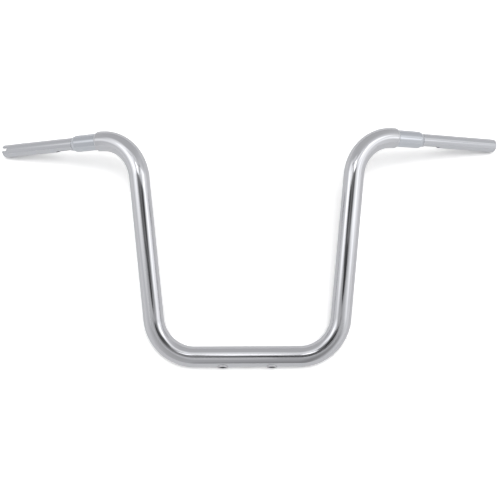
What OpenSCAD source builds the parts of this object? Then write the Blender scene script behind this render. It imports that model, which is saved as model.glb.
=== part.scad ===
// Ape hanger handlebar for a motorcycle, all of it chromed steel tube.
//
// One main tube is bent four times: two lower bends turn the base up into the uprights, and two upper
// bends turn the uprights out and back towards the rider. At each end a sleeve slides into the main tube
// and a slimmer grip tube slides through the sleeve, so the bar steps down twice to the size of a grip.
// Two tapped bungs under the base take the riser bolts. The wiring runs inside, from a slot in each grip
// tube to a hole in the base.
//
// The bar lies as it comes to rest on a table, on its base and on both grip ends. X runs along the bar,
// with the throttle side at -X, and Z is up. The bolts run along Y. The origin is midway between the
// bolts, in the plane of the bungs' faces.

/* [Main tube] */
// Outer diameter of the main tube
tube_od = 38.1; // [35:0.1:45]
// Wall of the main tube
tube_wall = 3.05; // [2:0.05:4]
// Straight length of the base, between the lower bends
base_l = 190.5; // [160:0.5:260]
// Height of the grips over the base, from centre line to centre line
rise = 406.4; // [300:0.1:460]
// Angle by which each upright leans outwards
splay = 6; // [2:0.5:12]
// Centre-line radius of the lower bends
lower_bend_r = 76.2; // [60:0.1:110]
// Centre-line radius of the upper bends
upper_bend_r = 82.55; // [60:0.05:110]
// Angle by which the grips sweep back towards the rider
pullback = 21.5; // [5:0.5:40]
// Straight length of the main tube past each upper bend
end_straight = 7; // [6:0.5:30]
// Radius that rounds each end of the main tube down to its sleeve
end_round_r = 5; // [3:0.5:9]

/* [Sleeves] */
// Length of each sleeve outside the main tube
sleeve_l = 54; // [30:0.5:80]
// Radius that rounds each sleeve's outer end down to its grip tube
sleeve_round_r = 14; // [8:0.5:30]

/* [Grip tubes] */
// Outer diameter of each grip tube
grip_od = 25.4; // [22.2:0.1:27]
// Wall of each grip tube
grip_wall = 3.05; // [2:0.05:4]
// Length of each grip tube outside its sleeve
grip_l = 165; // [130:0.5:220]
// Step by which a grip tube is turned down where it goes through its sleeve
spigot_step = 0.35; // [0.2:0.05:1]
// Break on both edges of each grip tube's outer end
grip_edge = 0.6; // [0.2:0.1:1.2]
// Length of the wiring slot under each grip tube
slot_l = 40; // [20:0.5:44]
// Width of the wiring slots
slot_w = 14; // [8:0.5:16]
// Distance from each sleeve to the wiring slot beside it
slot_gap = 3; // [1:0.5:60]
// Turn of the wiring slots round their tubes, from the bar's underside towards its rear
slot_turn = 12; // [0:1:45]
// Depth of the notch in the end of the throttle side's grip tube
notch_l = 11; // [6:0.5:16]
// Width of the notch
notch_w = 6; // [4:0.5:9]
// Turn of the notch round its tube, from the bar's underside towards its front
notch_turn = 95; // [0:1:180]

/* [Bungs] */
// Distance between the riser bolts
bolt_spacing = 88.9; // [76:0.1:120]
// Outer diameter of each bung
bung_od = 19.05; // [16:0.05:24]
// Length of each bung
bung_l = 28; // [20:0.5:30]
// Height of each bung's face over the main tube
bung_proud = 0.8; // [0.2:0.1:3]
// Steel left behind the tapped hole
bung_floor = 4; // [2:0.5:8]
// Bore of the tapped hole, at the crests of its thread
tap_d = 10.72; // [8:0.01:13]
// Break at the mouth of the tapped hole
tap_lead = 0.3; // [0.1:0.05:1]

/* [Wiring] */
// Diameter of the hole where the wiring leaves the base
exit_d = 19.05; // [12:0.05:24]
// Turn of that hole round the base, from the bolts towards the bar's rear
exit_turn = 60; // [30:1:120]

/* [Fits] */
// Gap all round between tubes that slide into each other
tube_fit = 0.125; // [0.05:0.005:0.3]
// Gap all round each bung in its hole
bung_fit = 0.1; // [0.05:0.01:0.3]

/* [Hidden] */
$fn = 96;

// Each bend draws the tube this much slimmer, and each straight's end tapers to it inside this lap
bend_draw = 0.03;
lap = 0.6;
// Steel left at the tip of an end that is rounded down
tip = 0.2;
// Points along a rounded-down end
round_steps = 8;
// How far a cut runs past what it cuts
past = 1;

// Radii of the tubes, each sized to slide into the next
tube_r = tube_od / 2;
tube_bore_r = tube_r - tube_wall;
sleeve_r = tube_bore_r - tube_fit;
grip_r = grip_od / 2;
grip_bore_r = grip_r - grip_wall;
spigot_r = grip_r - spigot_step;
sleeve_bore_r = spigot_r + tube_fit;

// Lengths of a sleeve and of a grip tube, from the inner end that they share
sleeve_total_l = end_straight + sleeve_l;
grip_total_l = sleeve_total_l + grip_l;

// The tube turns up by lower_angle, then out and back by upper_angle in a plane turned by upper_twist
lower_angle = 90 - splay;
upper_angle = acos(sin(splay) * cos(pullback));
upper_twist = atan2(sin(pullback), cos(pullback) * cos(splay));

// Where the upper bend goes: its reach across its start and along it, and that in the bar's own frame
across = upper_bend_r * (1 - cos(upper_angle));
along = upper_bend_r * sin(upper_angle);
upper_bend_out = across * cos(upper_twist) * cos(splay) + along * sin(splay);
upper_bend_up = along * cos(splay) - across * cos(upper_twist) * sin(splay);
upper_bend_back = across * sin(upper_twist);

// The uprights make up the rest of the rise
lower_bend_up = lower_bend_r * (1 - sin(splay));
upright_l = (rise - lower_bend_up - upper_bend_up) / cos(splay);

// End of the upper bend, in the bar's own frame: X out, Y to the rear, Z up the uprights
end_x = base_l / 2 + lower_bend_r * cos(splay) + upright_l * sin(splay) + upper_bend_out;
end_y = upper_bend_back;
end_at = [end_x, end_y, rise];

// Angle from the table to the uprights' plane, at which the base and both grip ends touch the table
grip_end_y = end_y + grip_total_l * sin(pullback);
function end_drop(lie) = grip_r * sqrt(1 - pow(sin(pullback) * cos(lie), 2)) - tube_r;
function lie_from(lie) = atan2(grip_end_y, rise) + asin(end_drop(lie) / norm([rise, grip_end_y]));
lie = lie_from(lie_from(lie_from(0)));

// Height of the tube's axis over the bungs' faces, which lie in the plane Y = 0
base_y = tube_r + bung_proud;

// Lays the bar, from its own frame, on the table
module lay() {
    translate([0, base_y, 0]) rotate([lie - 90, 0, 0]) children();
}

// Puts children where the upper bend ends, with Z along the grips and X to the bar's underside
module at_end(side) {
    mirror([side < 0 ? 1 : 0, 0, 0])
        translate(end_at) rotate([0, 0, pullback]) rotate([0, 90, 0]) children();
}

// Outline of the tapered lap with which a straight of radius r starts inside the bend before it
function lap_in(r) = [[0, -lap], [r - 2 * bend_draw, -lap], [r, 0]];

// A straight along Z that laps into the bend before and after it
module straight(length, r) {
    rotate_extrude() polygon(concat(lap_in(r),
        [[r, length], [r - 2 * bend_draw, length + lap], [0, length + lap]]));
}

// A bend from Z towards X
module bend(bend_r, angle, r) {
    translate([bend_r, 0, 0]) rotate([90, 0, 0]) rotate([0, 0, 180 - angle])
        rotate_extrude(angle = angle) translate([bend_r, 0]) circle(r - bend_draw);
}

// Puts children at the far end of such a bend
module after_bend(bend_r, angle) {
    translate([bend_r, 0, 0]) rotate([0, angle, 0]) translate([-bend_r, 0, 0]) children();
}

// One upright with its two bends as a solid rod, in the bar's own frame
module upright_rod(side, r) {
    mirror([side < 0 ? 1 : 0, 0, 0])
        translate([base_l / 2, 0, 0]) rotate([0, 90, 0]) rotate([0, 0, 180]) {
            bend(lower_bend_r, lower_angle, r);
            after_bend(lower_bend_r, lower_angle) {
                straight(upright_l, r);
                translate([0, 0, upright_l]) rotate([0, 0, 180 + upper_twist])
                    bend(upper_bend_r, upper_angle, r);
            }
        }
}

// The base with both uprights as a solid rod
module bent_rod(r) {
    translate([-base_l / 2, 0, 0]) rotate([0, 90, 0]) straight(base_l, r);
    for (side = [-1, 1]) upright_rod(side, r);
}

// Axial length over which an arc of round_r takes off a step of steel
function round_l(round_r, step) = sqrt(2 * round_r * step - step * step);

// A rod along Z, from the outline of its start, whose far end is rounded down by step with an arc
module rounded_rod(start, length, r, round_r, step) {
    arc_l = round_l(round_r, step);
    full_angle = asin(arc_l / round_r);
    arc = [for (i = [0:round_steps]) let (a = full_angle * i / round_steps)
        [r - round_r * (1 - cos(a)), length - arc_l + round_r * sin(a)]];
    rotate_extrude() polygon(concat(start, arc, [[0, length]]));
}

// The hollow of the main tube, which runs out through both ends
module tube_hollow() {
    bent_rod(tube_bore_r);
    for (side = [-1, 1]) at_end(side) straight(end_straight + past, tube_bore_r);
}

// The outside of the main tube
module tube_outside() {
    bent_rod(tube_r);
    for (side = [-1, 1])
        at_end(side) rounded_rod(lap_in(tube_r), end_straight, tube_r, end_round_r, tube_wall - tip);
}

// Puts children on each bung's axis, with Z from the face into the tube
module at_bung(side) {
    translate([side * bolt_spacing / 2, 0, 0]) rotate([-90, 0, 0]) children();
}

// The bent tube, with its holes for the bungs and for the wiring
module main_tube() {
    color("silver") difference() {
        lay() tube_outside();
        lay() tube_hollow();
        for (side = [-1, 1])
            at_bung(side) translate([0, 0, -past])
                cylinder(h = past + base_y, r = bung_od / 2 + bung_fit);
        translate([0, base_y, 0]) rotate([90 + exit_turn, 0, 0])
            cylinder(h = tube_r + past, r = exit_d / 2);
    }
}

// A sleeve, from its inner end at the upper bend to its rounded outer end
module sleeve(side) {
    step = sleeve_r - sleeve_bore_r - tip;
    color("gainsboro") lay() at_end(side) difference() {
        rounded_rod([[0, 0], [sleeve_r, 0]], sleeve_total_l, sleeve_r, sleeve_round_r, step);
        translate([0, 0, -past]) cylinder(h = sleeve_total_l + 2 * past, r = sleeve_bore_r);
    }
}

// A slot with round ends through the underside of a tube along Z
module wiring_slot(middle_z) {
    reach = slot_l / 2 - slot_w / 2;
    rotate([0, 0, slot_turn]) translate([0, 0, middle_z]) {
        for (z = [-reach, reach])
            translate([0, 0, z]) rotate([0, 90, 0]) cylinder(h = grip_r + past, r = slot_w / 2);
        translate([0, -slot_w / 2, -reach]) cube([grip_r + past, slot_w, 2 * reach]);
    }
}

// A notch across the wall at the outer end of a grip tube
module end_notch() {
    rotate([0, 0, -notch_turn]) translate([0, -notch_w / 2, grip_total_l - notch_l])
        cube([grip_r + past, notch_w, notch_l + past]);
}

// A grip tube, from its inner end, flush with the sleeve's, to the end of the bar. It is turned down to
// go through the sleeve, and its shoulder stops at the sleeve's rounded end.
module grip_tube(side) {
    shoulder = sleeve_total_l + tube_fit;
    rim = grip_total_l - grip_edge;
    color("whitesmoke") lay() at_end(side) difference() {
        rotate_extrude() polygon([
            [grip_bore_r, 0], [spigot_r, 0], [spigot_r, shoulder], [grip_r, shoulder + spigot_step],
            [grip_r, rim], [grip_r - grip_edge, grip_total_l],
            [grip_bore_r + grip_edge, grip_total_l], [grip_bore_r, rim]]);
        wiring_slot(sleeve_total_l + slot_gap + slot_l / 2);
        if (side < 0) end_notch();
    }
}

// A bung, tapped from its face
module bung(side) {
    tap_r = tap_d / 2;
    color("lightsteelblue") at_bung(side) difference() {
        cylinder(h = bung_l, r = bung_od / 2);
        translate([0, 0, -past]) cylinder(h = bung_l - bung_floor + past, r = tap_r);
        translate([0, 0, -past]) cylinder(h = past + tap_lead, r1 = tap_r + tap_lead + past, r2 = tap_r);
    }
}

module throttle_side_sleeve() { sleeve(-1); }
module clutch_side_sleeve() { sleeve(1); }
module throttle_side_grip_tube() { grip_tube(-1); }
module clutch_side_grip_tube() { grip_tube(1); }
module throttle_side_bung() { bung(-1); }
module clutch_side_bung() { bung(1); }

main_tube();
throttle_side_sleeve();
clutch_side_sleeve();
throttle_side_grip_tube();
clutch_side_grip_tube();
throttle_side_bung();
clutch_side_bung();
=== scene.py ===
"""Looks of the ape hanger handlebar: chrome, fine tube, tapped threads, white table and studio light."""

import math
from collections import namedtuple

import bpy
from mathutils import Matrix, Quaternion, Vector


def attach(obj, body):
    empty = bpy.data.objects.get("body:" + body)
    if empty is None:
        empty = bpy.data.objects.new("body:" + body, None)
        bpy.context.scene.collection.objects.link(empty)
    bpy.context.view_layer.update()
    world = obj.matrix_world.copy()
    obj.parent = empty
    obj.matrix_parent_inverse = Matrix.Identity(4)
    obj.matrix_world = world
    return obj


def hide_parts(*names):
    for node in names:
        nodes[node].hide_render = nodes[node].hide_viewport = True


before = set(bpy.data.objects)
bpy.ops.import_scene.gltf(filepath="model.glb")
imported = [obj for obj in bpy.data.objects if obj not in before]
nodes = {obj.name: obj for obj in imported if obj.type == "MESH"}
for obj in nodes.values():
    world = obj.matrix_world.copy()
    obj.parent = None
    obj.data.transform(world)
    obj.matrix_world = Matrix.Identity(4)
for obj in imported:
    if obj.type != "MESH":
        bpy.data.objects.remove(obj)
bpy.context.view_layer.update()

# Sizes of the bar, in metres, as in the CAD source
TUBE_R = 0.01905
TUBE_WALL = 0.00305
BASE_L = 0.1905
RISE = 0.4064
SPLAY = math.radians(6)
LOWER_BEND_R = 0.0762
UPPER_BEND_R = 0.08255
PULLBACK = math.radians(21.5)
END_STRAIGHT = 0.007
END_ROUND_R = 0.005
END_TIP = 0.0002
SLEEVE_L = 0.054
GRIP_R = 0.0127
GRIP_L = 0.165
BOLT_SPACING = 0.0889
BUNG_R = 0.009525
BUNG_L = 0.028
BUNG_PROUD = 0.0008
BUNG_FLOOR = 0.004
BUNG_FIT = 0.0001
TAP_R = 0.00536
TAP_LEAD = 0.0003
EXIT_R = 0.009525
EXIT_TURN = math.radians(60)

# Sizes that follow from those
TUBE_BORE_R = TUBE_R - TUBE_WALL
END_STEP = TUBE_WALL - END_TIP
BASE_Y = TUBE_R + BUNG_PROUD
BOLT_X = BOLT_SPACING / 2
TAPPED_L = BUNG_L - BUNG_FLOOR
TABLE_Z = -TUBE_R

# The bungs' 1/2 in thread. Its flanks would run past crest and root by THREAD_FLAT of the depth.
THREAD_R = 0.00635
THREAD_PITCH = 0.0254 / 13
THREAD_FLAT = 0.125

# Break on the outer edge of a bung's face, and as much room round its thread
BUNG_EDGE = 0.0002

# How far the wiring hole is cut from the tube's axis
EXIT_CUT_L = 1.5 * TUBE_R

# Fineness of the meshes, and the angle from which an edge stays sharp
ROUND = 128
BEND_STEP = math.radians(1.5)
STRAIGHT_STEP = 0.006
ARC_STEPS = 14
THREAD_STEPS = 12
SHARP_ANGLE = math.radians(35)

# A face is on a tube's inside where the cosine between its normal and its direction from the axis is under this
INSIDE_COSINE = -0.5

# Camera, solved from the photo's outline
CAMERA_AT = Vector((0.041094, -0.260822, 1.427075))
CAMERA_TARGET = Vector((0.004973, 0.224651, 0))
CAMERA_ROLL = math.radians(-4.5)
LENS_MM = 57.08
SENSOR_MM = 36
CAMERA_NEAR = 0.01
CAMERA_FAR = 50

# How far the wipe marks change a metal's roughness, as a share of it, and the detail of both its textures
SMEAR_SPREAD = 0.4
SMEAR_DETAIL = 6
WAVE_DETAIL = 2

# Metals: colour, roughness, scale of the wipe marks, and scale and depth of the waviness
Finish = namedtuple("Finish", "colour roughness smear_scale wave_scale wave_depth")
FINISHES = {
    "bar_chrome": Finish((0.547, 0.552, 0.578), 0.02, 60, 90, 0.000006),
    "sleeve_chrome": Finish((0.53, 0.552, 0.592), 0.08, 80, 110, 0.00001),
    "grip_chrome": Finish((0.54, 0.55, 0.58), 0.12, 90, 120, 0.00001),
    "turned_steel": Finish((0.52, 0.52, 0.54), 0.35, 300, 900, 0.00001),
    # The steel inside the bores and threads: partly the oxide that the steel has there, partly painted shade
    # that darkens the tubes' insides, slots and tapped holes
    "oxide_and_painted_shade": Finish((0.1, 0.1, 0.105), 0.4, 300, 900, 0.00001),
}

# Light that falls on plain surfaces: an even share, and the share of a broad lamp overhead
EVEN_LIGHT = 0.5
KEY_LIGHT = 0.5
KEY_FROM = Vector((0.1, 0, 1))
KEY_SPREAD = math.radians(38)

# The table's half sizes, and its colour: as it is, in the chrome, and where the camera's exposure bleaches it
TABLE_HALF = (4, 4)
TABLE_WHITE = 0.8
TABLE_IN_CHROME = 0.88
TABLE_BLEACHED = 1.42

# What the chrome sees of the studio. A white room, in which each patch has its middle and its half sizes,
# a turn in degrees, a soft edge as a share of its half sizes, its squareness and its strength.
Patch = namedtuple("Patch", "middle half turn edge square strength")
ROOM = 1.06

# Greyer parts of the room, in degrees from straight up, and the far lamp
GREY_ROOM = (
    Patch((-10, -60), (55, 45), 15, 0.8, 2, 0.4),
    Patch((-5, 55), (90, 60), 65, 0.6, 2, 0.35),
    Patch((5, -90), (15, 120), -25, 0.8, 2, 0.45),
    Patch((19.5, 9), (11, 5.5), 30, 0.1, 2, 0.75),
)
FAR_LAMP = Patch((-2, 5), (5, 7.5), 20, 0.3, 2, 2.1)

# Two soft boxes with the light they spread on their screens, in metres at the height of the screens
SCREEN_Z = 0.96
SCREEN_HALF = (5, 2)
SOFT_BOXES = (
    Patch((-1.2, 0.28), (0.54, 0.28), -25, 1, 3, 0.65),
    Patch((-0.78, 0.52), (0.36, 0.54), 35, 0.5, 2, 0.6),
    Patch((-0.54, 0.56), (0.62, 0.26), 10, 0.1, 2, 0.3),
    Patch((2.16, 0.52), (1.22, 0.44), 0, 1, 3, 0.5),
    Patch((0.86, 0.28), (0.48, 0.22), 15, 0.3, 2, 0.55),
    Patch((0.46, 0.5), (0.82, 0.14), 10, 0.1, 2, 0.6),
    Patch((1.14, 0.06), (0.54, 0.4), -40, 1, 2, 0.9),
    Patch((-0.18, 0.1), (0.3, 0.1), 5, 0.8, 2, 0.1),
    Patch((-0.18, -0.46), (0.52, 0.24), -85, 0.1, 2, 0.15),
)

# The dark camera, its stand and two dark flags
STAND_Z = 1.54
STAND_HALF = (1, 1)
STAND = (
    Patch((0.02, -0.1), (0.32, 0.12), -5, 0.2, 2, 0.85),
    Patch((-0.02, -0.42), (0.32, 0.14), -5, 0.2, 2, 0.95),
    Patch((0.46, 0.2), (0.32, 0.14), 15, 0.4, 2, 0.75),
    Patch((-0.44, 0.14), (0.34, 0.16), -25, 0.1, 2, 0.85),
)

# The dark ceiling between the soft boxes
CEILING_Z = 4
CEILING_HALF = (11, 2)
CEILING = (
    Patch((2.25, 0.05), (4.25, 0.55), 5, 0.8, 2, 0.75),
    Patch((-0.85, 0.5), (0.4, 0.65), 30, 0.1, 2, 0.55),
    Patch((-1.8, 1.5), (0.5, 0.2), -10, 0.1, 2, 0.6),
)

# Least length of a direction seen from above, so that straight up isn't divided by nothing
LEAST_FLAT = 0.0001


def new_object(name, data):
    """Links a mesh, a lamp or a camera to the scene as an object."""
    obj = bpy.data.objects.new(name, data)
    bpy.context.scene.collection.objects.link(obj)
    return obj


def smooth_out(mesh):
    """Shades a mesh smooth, with its sharp edges kept."""
    mesh.polygons.foreach_set("use_smooth", [True] * len(mesh.polygons))
    mesh.set_sharp_from_angle(angle=SHARP_ANGLE)


def mesh_from(name, verts, faces, smooth=True):
    """A mesh from lists of points and faces."""
    mesh = bpy.data.meshes.new(name)
    mesh.from_pydata(verts, [], faces)
    mesh.update()
    if smooth:
        smooth_out(mesh)
    return mesh


def set_materials(obj, outside, inside):
    """Gives an object two materials in place of those it has."""
    obj.data.materials.clear()
    obj.data.materials.append(outside)
    obj.data.materials.append(inside)


def straight(points, start, direction, length):
    """Adds a straight to a centre line and gives its end."""
    count = max(2, round(length / STRAIGHT_STEP))
    for i in range(count):
        points.append((start + direction * (length * i / count), direction))
    return start + direction * length


def bend(points, start, direction, goal, radius, angle):
    """Adds a bend towards the goal's direction to a centre line and gives its end."""
    side = (goal - direction * goal.dot(direction)).normalized()

    def at(a):
        return start + direction * (radius * math.sin(a)) + side * (radius * (1 - math.cos(a)))

    count = math.ceil(angle / BEND_STEP)
    for i in range(count):
        a = angle * i / count
        points.append((at(a), direction * math.cos(a) + side * math.sin(a)))
    return at(angle)


def half_path():
    """Centre line of the clutch side's half in the bar's frame, as points with directions."""
    lower_angle = math.pi / 2 - SPLAY
    upper_angle = math.acos(math.sin(SPLAY) * math.cos(PULLBACK))
    base = Vector((1, 0, 0))
    up = Vector((math.sin(SPLAY), 0, math.cos(SPLAY)))
    out = Vector((math.cos(PULLBACK), math.sin(PULLBACK), 0))
    points = []
    at = straight(points, Vector((0, 0, 0)), base, BASE_L / 2)
    at = bend(points, at, base, up, LOWER_BEND_R, lower_angle)
    upper_end = bend([], Vector((0, 0, 0)), up, out, UPPER_BEND_R, upper_angle)
    upright_l = (RISE - at.z - upper_end.z) / math.cos(SPLAY)
    at = straight(points, at, up, upright_l)
    at = bend(points, at, up, out, UPPER_BEND_R, upper_angle)
    at = straight(points, at, out, END_STRAIGHT)
    points.append((at, out))
    return points


def lying_angle(tube_end):
    """Angle from the table to the uprights' plane, at which the base and both grip ends touch the table."""
    grip_end_y = tube_end.y + (SLEEVE_L + GRIP_L) * math.sin(PULLBACK)
    lie = 0
    for _ in range(3):
        drop = GRIP_R * math.sqrt(1 - (math.sin(PULLBACK) * math.cos(lie)) ** 2) - TUBE_R
        lie = math.atan2(grip_end_y, RISE) + math.asin(drop / math.hypot(RISE, grip_end_y))
    return lie


LIE = lying_angle(half_path()[-1][0])


def lay(p):
    """A point of the bar's own frame, laid on the table."""
    x, y, z = p
    along = y * math.sin(LIE) + z * math.cos(LIE)
    return Vector((x, BASE_Y + along, -y * math.cos(LIE) + z * math.sin(LIE)))


def whole_path():
    """Centre line from the throttle side's end to the clutch side's, laid on the table."""
    half = half_path()
    flip = Matrix.Diagonal((-1, 1, 1))
    left = [(flip @ p, -(flip @ d)) for p, d in reversed(half[1:])]
    return [(lay(p), (lay(p + d) - lay(p)).normalized()) for p, d in left + half]


def carried_frames(path):
    """Two directions across each point of a path, carried along without twist."""
    across = Vector((0, 0, 1))
    frames = []
    for _, direction in path:
        across = (across - direction * across.dot(direction)).normalized()
        frames.append((across.copy(), direction.cross(across)))
    return frames


def rounded_end():
    """Distances from the end, with radii, of an end's outside that is rounded down."""
    arc_l = math.sqrt(2 * END_ROUND_R * END_STEP - END_STEP**2)
    full = math.asin(arc_l / END_ROUND_R)
    arc = []
    for i in range(ARC_STEPS + 1):
        a = full * i / ARC_STEPS
        arc.append((arc_l - END_ROUND_R * math.sin(a), TUBE_R - END_ROUND_R * (1 - math.cos(a))))
    return arc


def spokes(across):
    """Directions all the way round, from two directions across."""
    a, b = across
    turns = [2 * math.pi * k / ROUND for k in range(ROUND)]
    return [a * math.cos(t) + b * math.sin(t) for t in turns]


def ring(centre, across, r):
    """Points of a circle round a centre."""
    return [centre + spoke * r for spoke in spokes(across)]


def skin(rings, closed):
    """Faces between rings that follow each other, and from the last to the first if closed."""
    faces = []
    for i in range(rings if closed else rings - 1):
        j = (i + 1) % rings
        for k in range(ROUND):
            m = (k + 1) % ROUND
            faces.append((i * ROUND + k, i * ROUND + m, j * ROUND + m, j * ROUND + k))
    return faces


def rod(start, direction, length, r):
    """A closed cylinder as a cutter."""
    a = direction.orthogonal().normalized()
    across = (a, direction.cross(a))
    verts = ring(start, across, r) + ring(start + direction * length, across, r)
    ends = [tuple(range(ROUND - 1, -1, -1)), tuple(range(ROUND, 2 * ROUND))]
    return new_object("cutter", mesh_from("cutter", verts, ends + skin(2, closed=False)))


def cut(obj, cutter):
    """Takes the cutter away from the object and removes the cutter."""
    change = obj.modifiers.new("cut", "BOOLEAN")
    change.operation = "DIFFERENCE"
    change.solver = "EXACT"
    change.object = cutter
    graph = bpy.context.evaluated_depsgraph_get()
    cut_mesh = bpy.data.meshes.new_from_object(obj.evaluated_get(graph))
    obj.modifiers.clear()
    obj.data = cut_mesh
    bpy.data.objects.remove(cutter)


def build_main_tube(outside, inside):
    """The bent tube as one fine closed mesh, with its holes and a material for each side of its wall: the
    inside one is dark oxide with painted shade.
    """
    path = whole_path()
    frames = carried_frames(path)
    arc = rounded_end()
    reach = arc[0][0]
    (start, start_dir), (end, end_dir) = path[0], path[-1]
    outer = [(start + start_dir * s, frames[0], r) for s, r in reversed(arc)]
    for (p, _), across in zip(path, frames):
        if min((p - start).length, (p - end).length) > reach:
            outer.append((p, across, TUBE_R))
    outer += [(end - end_dir * s, frames[-1], r) for s, r in arc]
    inner = [(p, across, TUBE_BORE_R) for (p, _), across in zip(path, frames)]
    verts = []
    for centre, across, r in outer + inner[::-1]:
        verts += ring(centre, across, r)
    faces = skin(len(outer) + len(inner), closed=True)
    tube = new_object("main_tube_fine", mesh_from("main_tube_fine", verts, faces))
    set_materials(tube, outside, inside)
    for face in tube.data.polygons[len(outer) * ROUND:-ROUND]:
        face.material_index = 1
    for side in (-1, 1):
        below = Vector((side * BOLT_X, -TUBE_R, 0))
        cut(tube, rod(below, Vector((0, 1, 0)), TUBE_R + BASE_Y, BUNG_R + BUNG_FIT))
    exit_dir = Vector((0, -math.cos(EXIT_TURN), -math.sin(EXIT_TURN)))
    cut(tube, rod(Vector((0, BASE_Y, 0)), exit_dir, EXIT_CUT_L, EXIT_R))
    smooth_out(tube.data)
    return tube


def thread_depth(turns):
    """Share of the thread's depth, from 0 at a crest to 1 at a root, at a number of turns."""
    wave = abs(2 * (turns % 1) - 1)
    return min(1, max(0, (1 + 2 * THREAD_FLAT) * wave - THREAD_FLAT))


def thread_radius(depth, turn):
    """Radius of the tapped hole at a depth and a share of a turn, with its lead and its run-out."""
    lead_r = TAP_R + TAP_LEAD - depth
    fade = min(1, (TAPPED_L - depth) / THREAD_PITCH)
    share = thread_depth(depth / THREAD_PITCH - turn)
    return max(lead_r, TAP_R + (THREAD_R - TAP_R) * share * fade)


def build_bung(name, side, outside, inside):
    """A bung with its real thread, cut from its face, and a material of the thread's own: dark oxide with
    painted shade in the tapped hole.
    """
    inward = Vector((0, 1, 0))
    up = Vector((0, 0, 1))
    across = (up, inward.cross(up))
    mouth = Vector((side * BOLT_X, 0, 0))

    # The thread, as rings from its mouth, and the floor of the hole, as a fan
    steps = round(TAPPED_L / THREAD_PITCH * THREAD_STEPS)
    verts = []
    for i in range(steps + 1):
        depth = TAPPED_L * i / steps
        for k, spoke in enumerate(spokes(across)):
            verts.append(mouth + inward * depth + spoke * thread_radius(depth, k / ROUND))
    faces = [tuple(reversed(f)) for f in skin(steps + 1, closed=False)]
    floor_centre = len(verts)
    verts.append(mouth + inward * TAPPED_L)
    last = steps * ROUND
    for k in range(ROUND):
        faces.append((last + (k + 1) % ROUND, last + k, floor_centre))
    bare_count = len(faces)

    # The face with its broken edge, the side and the far end
    rims = [(0, THREAD_R + BUNG_EDGE), (0, BUNG_R - BUNG_EDGE), (BUNG_EDGE, BUNG_R), (BUNG_L, BUNG_R)]
    base = len(verts)
    for depth, r in rims:
        verts += ring(mouth + inward * depth, across, r)
    for k in range(ROUND):
        m = (k + 1) % ROUND
        faces.append((k, m, base + m, base + k))
    for f in skin(len(rims), closed=False):
        faces.append(tuple(base + v for v in f))
    top = base + (len(rims) - 1) * ROUND
    faces.append(tuple(top + k for k in range(ROUND)))

    bung = new_object(name, mesh_from(name, verts, faces))
    set_materials(bung, outside, inside)
    for face in bung.data.polygons[:bare_count]:
        face.material_index = 1
    return bung


def dress(obj, outside, inside, start, direction):
    """Gives a straight tube from the CAD model its materials, outside and where it faces its own axis; the
    latter is dark oxide with painted shade.
    """
    set_materials(obj, outside, inside)
    smooth_out(obj.data)
    for face in obj.data.polygons:
        spoke = face.center - start
        spoke -= direction * spoke.dot(direction)
        is_inside = spoke.normalized().dot(face.normal) < INSIDE_COSINE
        face.material_index = 1 if is_inside else 0


def add(tree, kind, inputs=None, **settings):
    """Adds a shader node. Each input is a value or another node's output."""
    made = tree.nodes.new(kind)
    for key, value in settings.items():
        setattr(made, key, value)
    for key, value in (inputs or {}).items():
        if isinstance(value, bpy.types.NodeSocket):
            tree.links.new(value, made.inputs[key])
        else:
            made.inputs[key].default_value = value
    return made


def calc(tree, operation, a, b=0.0):
    """Adds a calculation with one or two values and gives its result."""
    return add(tree, "ShaderNodeMath", {0: a, 1: b}, operation=operation).outputs[0]


def mix(tree, factor, a, b):
    """Adds a mix that goes from one value to another and gives its result."""
    return add(tree, "ShaderNodeMix", {"Factor": factor, 2: a, 3: b}).outputs[0]


def grey(tree, value):
    """Adds a grey of a given value and gives its colour."""
    return add(tree, "ShaderNodeCombineColor", {0: value, 1: value, 2: value}).outputs[0]


def patch_share(tree, place, patch):
    """Strength of a patch at a place: all of it inside, none outside, and soft between."""
    mapping = {
        "Vector": place,
        "Location": (*patch.middle, 0),
        "Rotation": (0, 0, math.radians(patch.turn)),
        "Scale": (*patch.half, 1),
    }
    local = add(tree, "ShaderNodeMapping", mapping, vector_type="TEXTURE").outputs[0]
    parts = add(tree, "ShaderNodeSeparateXYZ", {0: local})
    x, y = (calc(tree, "ABSOLUTE", parts.outputs[axis]) for axis in "XY")
    x_power = calc(tree, "POWER", x, patch.square)
    y_power = calc(tree, "POWER", y, patch.square)
    reach = calc(tree, "POWER", calc(tree, "ADD", x_power, y_power), 1 / patch.square)
    edge = {
        "Value": reach,
        "From Min": 1 - patch.edge,
        "From Max": 1 + patch.edge,
        "To Min": patch.strength,
        "To Max": 0,
    }
    return add(tree, "ShaderNodeMapRange", edge, interpolation_type="SMOOTHSTEP").outputs[0]


def darkened(tree, place, patches, light):
    """What is left of a light behind dark patches."""
    for patch in patches:
        left = calc(tree, "SUBTRACT", 1, patch_share(tree, place, patch))
        light = calc(tree, "MULTIPLY", light, left)
    return light


def sky_degrees(tree):
    """Direction as a flat place: degrees from straight up, along X and Y."""
    towards = add(tree, "ShaderNodeTexCoord").outputs["Generated"]
    parts = add(tree, "ShaderNodeSeparateXYZ", {0: towards})
    x, y, z = (parts.outputs[axis] for axis in "XYZ")
    squares = calc(tree, "ADD", calc(tree, "POWER", x, 2), calc(tree, "POWER", y, 2))
    flat = calc(tree, "MAXIMUM", calc(tree, "SQRT", squares), LEAST_FLAT)
    angle = calc(tree, "DEGREES", calc(tree, "ARCCOSINE", z))
    scale = calc(tree, "DIVIDE", angle, flat)
    place = {0: calc(tree, "MULTIPLY", x, scale), 1: calc(tree, "MULTIPLY", y, scale)}
    return add(tree, "ShaderNodeCombineXYZ", place).outputs[0]


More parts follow.
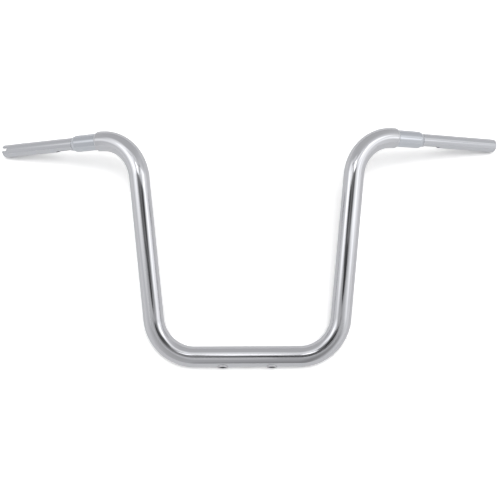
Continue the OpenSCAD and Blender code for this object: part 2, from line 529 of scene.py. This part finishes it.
def build_world():
    """White for the camera, even light for plain surfaces, and the room that the chrome sees."""
    world = bpy.data.worlds.new("studio")
    bpy.context.scene.world = world
    world.use_nodes = True
    tree = world.node_tree
    place = sky_degrees(tree)
    room = darkened(tree, place, GREY_ROOM, ROOM)
    room = calc(tree, "ADD", room, patch_share(tree, place, FAR_LAMP))
    path = add(tree, "ShaderNodeLightPath")
    plain = mix(tree, path.outputs["Is Glossy Ray"], EVEN_LIGHT, room)
    seen = mix(tree, path.outputs["Is Camera Ray"], plain, 1.0)
    back = tree.nodes["Background"]
    back.inputs["Color"].default_value = (1, 1, 1, 1)
    tree.links.new(seen, back.inputs["Strength"])


def level_sheet(name, height, half):
    """A level sheet of the studio with an empty material. Gives the sheet and the material's nodes."""
    x, y = half
    verts = [(-x, -y, 0), (x, -y, 0), (x, y, 0), (-x, y, 0)]
    sheet = new_object(name, mesh_from(name, verts, [(0, 1, 2, 3)], smooth=False))
    sheet.location.z = height
    mat = bpy.data.materials.new(name)
    mat.use_nodes = True
    mat.node_tree.nodes.clear()
    sheet.data.materials.append(mat)
    return sheet, mat.node_tree


def mirrored_sheet(name, height, half):
    """A level sheet that only the chrome sees. Gives its material's nodes and the place on it."""
    sheet, tree = level_sheet(name, height, half)
    sheet.visible_camera = False
    sheet.visible_diffuse = False
    sheet.visible_shadow = False
    sheet.visible_transmission = False
    return tree, add(tree, "ShaderNodeTexCoord").outputs["Object"]


def build_screen(name, height, half, patches):
    """A see-through sheet with glowing patches."""
    tree, place = mirrored_sheet(name, height, half)
    glow = 0.0
    for patch in patches:
        glow = calc(tree, "ADD", patch_share(tree, place, patch), glow)
    light = add(tree, "ShaderNodeEmission", {"Strength": glow}).outputs[0]
    clear = add(tree, "ShaderNodeBsdfTransparent").outputs[0]
    both = add(tree, "ShaderNodeAddShader", {0: light, 1: clear}).outputs[0]
    add(tree, "ShaderNodeOutputMaterial", {"Surface": both})


def build_shade(name, height, half, patches):
    """A see-through sheet with dark patches."""
    tree, place = mirrored_sheet(name, height, half)
    tint = grey(tree, darkened(tree, place, patches, 1.0))
    clear = add(tree, "ShaderNodeBsdfTransparent", {"Color": tint}).outputs[0]
    add(tree, "ShaderNodeOutputMaterial", {"Surface": clear})


def build_floor():
    """The white table, which keeps the bar's shadow."""
    floor, tree = level_sheet("table", TABLE_Z, TABLE_HALF)
    path = add(tree, "ShaderNodeLightPath")
    mirrored = calc(tree, "ADD", path.outputs["Is Glossy Ray"], path.outputs["Is Transmission Ray"])
    plain = mix(tree, mirrored, TABLE_WHITE, TABLE_IN_CHROME)
    white = mix(tree, path.outputs["Is Camera Ray"], plain, TABLE_BLEACHED)
    paper = add(tree, "ShaderNodeBsdfDiffuse", {"Color": grey(tree, white)}).outputs[0]
    add(tree, "ShaderNodeOutputMaterial", {"Surface": paper})


def build_key():
    """The broad lamp, whose soft shadow the table shows."""
    data = bpy.data.lights.new("key", "SUN")
    data.energy = KEY_LIGHT * math.pi
    data.angle = KEY_SPREAD
    lamp = new_object("key", data)
    lamp.rotation_mode = "QUATERNION"
    lamp.rotation_quaternion = (-KEY_FROM).to_track_quat("-Z", "Y")
    lamp.visible_glossy = False


def build_camera():
    """The camera of the photo."""
    data = bpy.data.cameras.new("camera")
    data.lens = LENS_MM
    data.sensor_width = SENSOR_MM
    data.clip_start = CAMERA_NEAR
    data.clip_end = CAMERA_FAR
    camera = new_object("camera", data)
    camera.location = CAMERA_AT
    look = (CAMERA_TARGET - CAMERA_AT).to_track_quat("-Z", "Y")
    roll = Quaternion((0, 0, 1), CAMERA_ROLL)
    camera.rotation_mode = "QUATERNION"
    camera.rotation_quaternion = look @ roll
    bpy.context.scene.camera = camera


def metal(name, finish):
    """Polished or turned metal with wipe marks in its gloss and a faint waviness."""
    mat = bpy.data.materials.new(name)
    mat.use_nodes = True
    tree = mat.node_tree
    shader = tree.nodes["Principled BSDF"]
    shader.inputs["Base Color"].default_value = (*finish.colour, 1)
    shader.inputs["Metallic"].default_value = 1
    place = add(tree, "ShaderNodeTexCoord").outputs["Object"]

    smear_look = {"Vector": place, "Scale": finish.smear_scale, "Detail": SMEAR_DETAIL}
    smear = add(tree, "ShaderNodeTexNoise", smear_look).outputs[0]
    spread = {
        "Value": smear,
        "To Min": (1 - SMEAR_SPREAD) * finish.roughness,
        "To Max": (1 + SMEAR_SPREAD) * finish.roughness,
    }
    gloss = add(tree, "ShaderNodeMapRange", spread).outputs[0]
    tree.links.new(gloss, shader.inputs["Roughness"])

    wave_look = {"Vector": place, "Scale": finish.wave_scale, "Detail": WAVE_DETAIL}
    wave = add(tree, "ShaderNodeTexNoise", wave_look).outputs[0]
    relief = {"Strength": 1, "Distance": finish.wave_depth, "Height": wave}
    bump = add(tree, "ShaderNodeBump", relief).outputs[0]
    tree.links.new(bump, shader.inputs["Normal"])
    return mat


metals = {name: metal(name, finish) for name, finish in FINISHES.items()}
# Dark steel for all bores and threads: oxide, with painted shade for the recesses
oxide_and_painted_shade = metals["oxide_and_painted_shade"]

tube = build_main_tube(metals["bar_chrome"], oxide_and_painted_shade)
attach(tube, "root")
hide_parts("main_tube")

path = whole_path()
for side_name, side, (start, direction) in (("throttle", -1, path[0]), ("clutch", 1, path[-1])):
    sleeve = nodes[f"{side_name}_side_sleeve"]
    dress(sleeve, metals["sleeve_chrome"], oxide_and_painted_shade, start, direction)
    grip = nodes[f"{side_name}_side_grip_tube"]
    dress(grip, metals["grip_chrome"], oxide_and_painted_shade, start, direction)
    bung = build_bung(f"{side_name}_side_bung_threaded", side, metals["turned_steel"], oxide_and_painted_shade)
    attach(bung, "root")
    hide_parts(f"{side_name}_side_bung")

build_world()
build_screen("soft_boxes", SCREEN_Z, SCREEN_HALF, SOFT_BOXES)
build_shade("camera_stand", STAND_Z, STAND_HALF, STAND)
build_shade("ceiling_gap", CEILING_Z, CEILING_HALF, CEILING)
build_floor()
build_key()
build_camera()

bpy.context.scene.view_settings.view_transform = "Standard"
